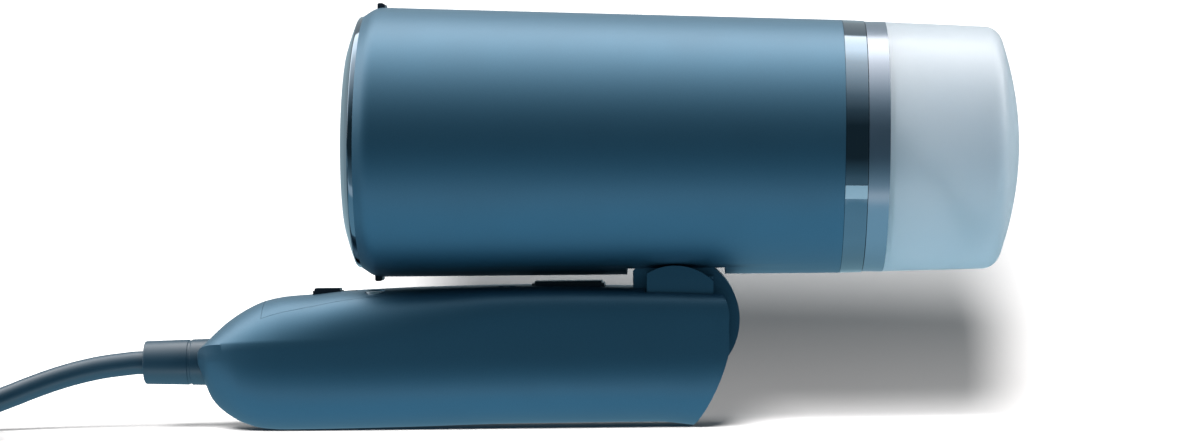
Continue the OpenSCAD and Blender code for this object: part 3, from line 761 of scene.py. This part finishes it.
def make_cover():
    """The panel in the handle's top, with windows for the trigger and the power tab."""
    cover = handle_form("handle_panel")
    cut(cover, [handle_form("panel_hollow", HANDLE_WALL)])
    low = [COVER_LOW[0] + COVER_GAP, COVER_LOW[1] + COVER_GAP, COVER_LOW[2]]
    high = [COVER_HIGH[0] - COVER_GAP, COVER_HIGH[1] - COVER_GAP, COVER_HIGH[2]]
    cut(cover, [box_piece("panel_keep", low, high)], "INTERSECT")
    travel = joints["power_slide"]["range_m"][1] / MM
    openings = [
        box_piece("trigger_window", (-12.95, -5.75, 20), (6.65, 5.75, 60)),
        box_piece("tab_window", (-71.45, -3.3, 20), (-63.35 + travel, 3.3, 60)),
    ]
    for x, seat in COVER_SCREWS:
        for y in (-8, 8):
            openings.append(upright_cylinder("screw_seat", x, y, 2.7, seat, 60))
            openings.append(upright_cylinder("screw_hole", x, y, 1.4, 20, seat + 1))
    cut(cover, openings)
    place_piece(cover, "handle", "body_satin", "handle_cover")


# ---- Tank ----

TANK_WALL = 1.6


def make_tank():
    """The frosted cup: tapered side, round corner and a shallow dome, with an even wall."""
    outer = [(54.5, 33), (58.7, 32.85), (70, 32.45), (80.5, 32.05)]
    corner_r, corner_x = 4.6, 80.7
    for step in range(1, 9):
        turn = math.radians(9 * step)
        outer.append((corner_x + corner_r * math.sin(turn), 27.45 + corner_r * math.cos(turn)))
    end_x, end_r = outer[-1]
    for step in range(1, 15):
        share = step / 14
        outer.append((end_x + (90.1 - end_x) * (1 - (1 - share) ** 2), end_r * (1 - share)))
    inner = [(x - (TANK_WALL if r < 31 else 0), max(r - TANK_WALL, 0)) for x, r in outer if r > 0]
    inner = [(54.5, 31.4)] + inner[1:] + [(90.1 - TANK_WALL, 0)]
    tank = turned_piece("tank_cup", outer[::-1] + inner)
    place_piece(tank, "tank", "tank_frosted", "tank_shell")


# ---- Strain relief ----

RELIEF_CORD_R = 3.1


def make_relief():
    """The tapered rubber sleeve round the cord, with a shallow step in front of the handle."""
    outline = rounded([
        (-116.6, RELIEF_CORD_R, 0), (-116.6, 5.75, 0.5), (-104.9, 6.05, 0.1), (-104.7, 5.85, 0.1),
        (-104.1, 5.85, 0.1), (-103.9, 6.1, 0.1), (-99.3, 6.2, 0), (-99.3, 5, 0), (-97.4, 5, 0),
        (-97.4, 5.7, 0), (-95.9, 5.7, 0), (-95.3, 4.6, 0), (-91, 4.4, 0), (-91, RELIEF_CORD_R, 0),
    ], 4)
    relief = turned_piece("cord_sleeve", outline, CORD_AXIS, 96)
    place_piece(relief, "handle", "cord_jacket", "strain_relief")


# ---- Head ----

SHELL_FRONT, SHELL_REAR, SHELL_WALL = (-79.8, 35.85), (43.2, 33.5), 1.8
NOTCH_HALF_X, NOTCH_HALF_Y = 13, 11.2
CATCH_TURNS_DEG = (0, 180)
CATCH_HALF = 3.2
COPY_SHARP_DEG = 12


def copy_of(name, node):
    """A new piece with the mesh of a CAD node, to be cut further."""
    piece = bpy.data.objects.new(name, nodes[node].data.copy())
    bpy.context.scene.collection.objects.link(piece)
    return piece


def make_shell():
    """The head's satin case, with a rounded chamfer in front and the hinge's notch and seats below."""
    outline = rounded([
        (-83, 33.75, 0), (-82.7, 33.95, 0.2), (*SHELL_FRONT, 7), (*SHELL_REAR, 0.25),
        (SHELL_REAR[0], SHELL_REAR[1] - SHELL_WALL, 0), (SHELL_FRONT[0], SHELL_FRONT[1] - SHELL_WALL, 0),
        (-82.6, 33.4, 0), (-83, 33.4, 0),
    ], 5)
    shell = turned_piece("head_case", outline, HEAD, 180)
    notch = box_piece(
        "hinge_notch", (-NOTCH_HALF_X, -NOTCH_HALF_Y, -40), (NOTCH_HALF_X, NOTCH_HALF_Y, -20), HEAD
    )
    cut(shell, [notch, hinge_cylinder("ear_seats", EAR_R + 0.15, -14.75, 14.75)])
    place_piece(shell, "head", "body_satin", "body_shell")


def make_neck():
    """The hinge's bracket. Outside the case, only the ears' round bosses stay at its full width."""
    neck = copy_of("head_neck", "hinge_bracket")
    sides = turned_piece("neck_sides", [(-20, 33.95), (-20, 50), (20, 50), (20, 33.95)], HEAD)
    cut(sides, [
        hinge_cylinder("neck_bosses", EAR_R, -30, 30),
        box_piece("neck_middle", (-30, -NOTCH_HALF_Y - 0.1, -60), (30, NOTCH_HALF_Y + 0.1, 60), HEAD),
        box_piece("neck_low", (-60, -60, -90), (60, 60, -34.4), HEAD),
    ])
    cut(neck, [sides], sharp_deg=COPY_SHARP_DEG)
    place_piece(neck, "head", "body_satin", "hinge_bracket")


def make_bezel():
    """The glossy ring that frames the steam plate and hides its edge from the side."""
    outline = rounded([
        (-74.5, 33.6, 0), (-82.9, 33.6, 0), (-84.4, 33.3, 0.9), (-85.5, 30.4, 1.5), (-86.3, 28, 2),
        (-87, 25.7, 0.5),
        (-86.6, 25.1, 0.2), (-83.7, 25.1, 0), (-82.4, 30, 0), (-80.8, 31.9, 0), (-74.5, 31.9, 0),
    ], 6)
    place_piece(turned_piece("bezel_ring", outline, HEAD, 180), "head", "gloss_blue", "front_bezel")


def make_plate():
    """The slightly domed steam plate, sunk a little in the bezel, with its two circles of vents."""
    outline = rounded([
        (-87.5, 0, 0), (-87.3, 8, 4), (-86.7, 17, 6), (-86, 24.2, 0.3), (-85.6, 24.8, 0.2), (-82.5, 24.8, 0),
        (-82.5, 22.6, 0), (-84.3, 22.6, 0), (-85.2, 14, 0), (-85.7, 0, 0),
    ], 4)
    plate = turned_piece("plate_face", outline, HEAD)
    vents = []
    for count, radius in ((12, 16.5), (6, 8)):
        for i in range(count):
            turned = 2 * math.pi * i / count
            middle = Vector((0, radius * math.sin(turned), radius * math.cos(turned))) * MM
            vents.append(turned_piece(
                "vent", [(-90, 0), (-90, 2), (-87.4, 1.9), (-86.4, 1.2), (-82, 1.2), (-82, 0)],
                HEAD @ Matrix.Translation(middle), 24
            ))
    cut(plate, vents)
    place_piece(plate, "head", "cast_metal", "steam_plate")


def make_catches():
    """Two small hooks on the case's front edge, which the brush clips over."""
    profile = [(-79.9, 35.2), (-79.9, 36.6), (-79.6, 36.95), (-78.6, 36.95), (-77.9, 36.6), (-77.8, 35.2)]
    points, faces = [], []
    for turned in CATCH_TURNS_DEG:
        start = len(points)
        place = HEAD @ Matrix.Rotation(math.radians(turned), 4, "X")
        for y in (-CATCH_HALF, CATCH_HALF):
            points += [place @ (Vector((x, y, r)) * MM) for x, r in profile]
        count = len(profile)
        faces.append([start + k for k in range(count)])
        faces.append([start + count + k for k in range(count)])
        for k in range(count):
            after = (k + 1) % count
            faces.append([start + k, start + after, start + count + after, start + count + k])
    catches = add_piece("brush_hooks", points, faces)
    soften_edges(catches, 0.2 * MM)
    place_piece(catches, "head", "dark_trim", "brush_catches")


def make_barrel():
    """The handle's round hinge end. Its front corner is level with the handle's top."""
    barrel = copy_of("handle_barrel", "hinge_barrel")
    cut(barrel, [box_piece("barrel_corner", (0, -20, 37.1), (17.7, 20, 60))], sharp_deg=COPY_SHARP_DEG)
    soften_edges(barrel, 0.3 * MM)
    place_piece(barrel, "handle", "body_satin", "hinge_barrel")


make_handle()
make_cover()
make_relief()
make_shell()
make_neck()
make_bezel()
make_plate()
make_catches()
make_barrel()
make_tank()

# ---- CAD nodes that keep their shape ----

SOFT_EDGED = {"steam_trigger": 0.35, "power_slider": 0.3}


def soften_cad_nodes():
    """Rounds the edges of the two controls, each by its width in mm."""
    for node, width in SOFT_EDGED.items():
        soften_edges(nodes[node], width * MM, 40, 3)


soften_cad_nodes()

# ---- Light, floor and backdrop ----

BACKDROP_Y = 80 * MM
SWEEP_R = 45 * MM
SWEEP_FRONT_Y = -1.2
SWEEP_REACH = 1.5
PAPER_GREY = (0.155, 0.151, 0.149, 1)
KEY_LEVEL = 34
KEY_SPREAD = math.radians(28)
KEY_FROM = Vector((-0.14, -0.74, 0.66))
WHITE_LEVEL = 1.12


def backdrop_paper():
    """Grey paper that the key light turns white. Its back is clear, so that the steamer shows from behind."""
    made = Finish("backdrop_paper")
    made.set(Base_Color=PAPER_GREY, Roughness=0.9)
    clear, pick = made.add("ShaderNodeBsdfTransparent"), made.add("ShaderNodeMixShader")
    made.join(made.add("ShaderNodeNewGeometry").outputs["Backfacing"], pick.inputs[0])
    made.join(made.shader.outputs[0], pick.inputs[1])
    made.join(clear.outputs[0], pick.inputs[2])
    made.join(pick.outputs[0], made.tree.nodes["Material Output"].inputs["Surface"])
    return made.material


def studio_sweep():
    """Floor and backdrop in one sheet, bent up behind the steamer, which it neither shades nor lights."""
    outline = [(SWEEP_FRONT_Y, 0)]
    for step in range(13):
        turned = math.radians(90 * step / 12)
        outline.append((
            BACKDROP_Y - SWEEP_R + SWEEP_R * math.sin(turned), SWEEP_R - SWEEP_R * math.cos(turned)
        ))
    outline.append((BACKDROP_Y, SWEEP_REACH))
    points = [(side * SWEEP_REACH, y, z) for y, z in outline for side in (-1, 1)]
    faces = [(2 * i, 2 * i + 1, 2 * i + 3, 2 * i + 2) for i in range(len(outline) - 1)]
    mesh = bpy.data.meshes.new("studio_sweep")
    mesh.from_pydata(points, [], faces)
    for polygon in mesh.polygons:
        polygon.use_smooth = True
    sweep = bpy.data.objects.new("studio_sweep", mesh)
    sweep.data.materials.append(backdrop_paper())
    sweep.visible_shadow = False
    sweep.visible_glossy = False
    sweep.visible_diffuse = False
    sweep.visible_transmission = False
    bpy.context.scene.collection.objects.link(sweep)
    return sweep


def key_light(receiver):
    """A broad light from high in front. It falls on the receiver only, where it casts the shadow."""
    data = bpy.data.lights.new("key", "SUN")
    data.energy = KEY_LEVEL
    data.angle = KEY_SPREAD
    light = bpy.data.objects.new("key", data)
    light.rotation_euler = KEY_FROM.to_track_quat("Z", "Y").to_euler()
    bpy.context.scene.collection.objects.link(light)
    only = bpy.data.collections.new("lit_by_key")
    only.objects.link(receiver)
    light.light_linking.receiver_collection = only


# Light on the steamer by the direction it comes from, in degrees about its length: 0 in front, 90 above.
# Each row is an angle, a level, and how blue the light is.
ROOM = [
    (-180, 0.5, 0.7), (-150, 0.5, 1), (-125, 0.8, 1), (-95, 1.3, 1), (-70, 1.4, 1), (-54, 1.3, 1),
    (-51, 2.1, 0.4), (-44, 2.1, 0.4), (-41, 1.0, 0.8), (-25, 0.45, 1), (-12, 0.13, 1), (18, 0.13, 1),
    (32, 0.35, 0.8), (46, 0.85, 0.5), (62, 1.8, 0.2), (82, 3, 0), (97, 5, 0), (118, 5, 0), (121, 0.7, 0.3),
    (150, 0.5, 0.4), (180, 0.5, 0.7),
]
ROOM_BLUE = (0.42, 0.8, 1.0)


def studio_world():
    """White where it is seen, also through the tank. It lights the steamer by the directions of ROOM."""
    world = bpy.data.worlds.new("studio")
    world.use_nodes = True
    tree = world.node_tree
    make, join = tree.nodes.new, tree.links.new
    output, seen = tree.nodes["World Output"], tree.nodes["Background"]
    seen.inputs["Color"].default_value = (1, 1, 1, 1)
    seen.inputs["Strength"].default_value = WHITE_LEVEL
    place, split = make("ShaderNodeTexCoord"), make("ShaderNodeSeparateXYZ")
    join(place.outputs["Generated"], split.inputs[0])
    front, turn = make("ShaderNodeMath"), make("ShaderNodeMath")
    front.operation = "MULTIPLY"
    front.inputs[1].default_value = -1
    join(split.outputs["Y"], front.inputs[0])
    turn.operation = "ARCTAN2"
    join(split.outputs["Z"], turn.inputs[0])
    join(front.outputs[0], turn.inputs[1])
    share = make("ShaderNodeMapRange")
    share.inputs["From Min"].default_value = -math.pi
    share.inputs["From Max"].default_value = math.pi
    join(turn.outputs[0], share.inputs["Value"])
    ramp = make("ShaderNodeValToRGB")
    join(share.outputs[0], ramp.inputs[0])
    stops = ramp.color_ramp.elements
    brightest = max(level for angle, level, blue in ROOM)
    for i, (angle, level, blue) in enumerate(ROOM):
        stop = stops[i] if i < 2 else stops.new(1)
        stop.position = (angle + 180) / 360
        tint = [1 + (part - 1) * blue for part in ROOM_BLUE]
        stop.color = [level / brightest * part for part in tint] + [1]
    lit = make("ShaderNodeBackground")
    lit.inputs["Strength"].default_value = brightest
    join(ramp.outputs["Color"], lit.inputs["Color"])
    paths, pick = make("ShaderNodeLightPath"), make("ShaderNodeMixShader")
    white_for = make("ShaderNodeMath")
    white_for.operation = "MAXIMUM"
    join(paths.outputs["Is Camera Ray"], white_for.inputs[0])
    join(paths.outputs["Is Transmission Ray"], white_for.inputs[1])
    join(white_for.outputs[0], pick.inputs[0])
    join(lit.outputs[0], pick.inputs[1])
    join(seen.outputs[0], pick.inputs[2])
    join(pick.outputs[0], output.inputs["Surface"])
    bpy.context.scene.world = world


sweep = studio_sweep()
key_light(sweep)
studio_world()
bpy.context.scene.view_settings.view_transform = "Standard"
